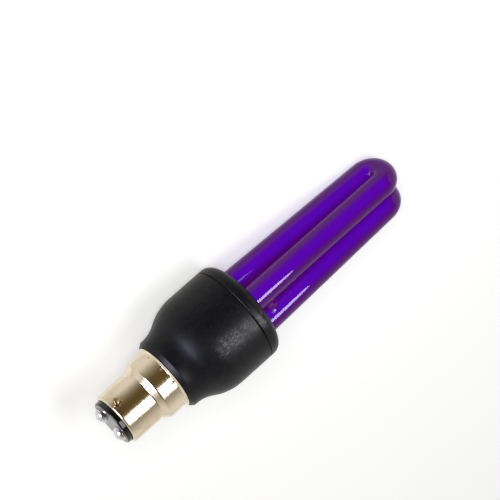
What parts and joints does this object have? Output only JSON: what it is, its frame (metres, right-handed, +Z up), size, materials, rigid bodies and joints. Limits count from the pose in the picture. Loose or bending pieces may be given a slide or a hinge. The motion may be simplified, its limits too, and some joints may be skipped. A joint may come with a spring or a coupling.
{
  "type": "black light compact fluorescent lamp",
  "caption": "Black-light compact fluorescent lamp: U-bent violet glass tubes on a black ballast housing with a nickel-plated bayonet cap.",
  "frame": {"origin": "on the surface that the lamp lies on, under the middle of its length and width", "axes": "+X along the lamp from the cap to the tip of the glass, whose axis dips by 8 degrees, +Z up"},
  "size_m": [0.1508, 0.042, 0.0442],
  "materials": {
    "nickel_plated_brass": "bright nickel plate",
    "black_insulator": "glossy black moulding",
    "solder": "bright solder",
    "brass": "bare brass",
    "black_housing": "fine matt moulded black",
    "violet_glass": "deep blue-violet filter glass",
    "cement": "pale cement",
    "board_laminate": "tan laminate",
    "ferrite": "dark sintered ferrite",
    "winding_copper": "enamelled copper",
    "bobbin_plastic": "moulded bobbin",
    "capacitor_sleeve": "printed-free sleeve",
    "film_dip": "dipped film capacitor",
    "epoxy_black": "moulded epoxy",
    "lead_insulation": "sleeved lead",
    "tinned_wire": "tinned wire"
  },
  "bodies": {
    "root": {"cap_shell": "nickel_plated_brass", "bayonet_pin_front": "nickel_plated_brass", "bayonet_pin_back": "nickel_plated_brass", "cap_insulator": "black_insulator", "contact_eyelet_1": "brass", "contact_eyelet_2": "brass", "solder_contact_1": "solder", "solder_contact_2": "solder", "supply_lead_1": "lead_insulation", "supply_lead_2": "lead_insulation", "lower_housing": "black_housing", "upper_cover": "black_housing", "discharge_tube": "violet_glass", "tube_cement": "cement", "electrode_leads_1": "tinned_wire", "electrode_leads_2": "tinned_wire", "circuit_board": "board_laminate", "choke_core": "ferrite", "choke_bobbin": "bobbin_plastic", "choke_winding": "winding_copper", "toroid_core": "ferrite", "toroid_windings": "winding_copper", "bulk_capacitor": "capacitor_sleeve", "resonant_capacitor": "film_dip", "blocking_capacitor": "film_dip", "transistor_1": "epoxy_black", "transistor_2": "epoxy_black", "rectifier_diodes": "epoxy_black", "fusible_resistor": "bobbin_plastic", "trigger_diode": "film_dip", "filter_core": "ferrite", "filter_winding": "winding_copper"}
  },
  "joints": []
}
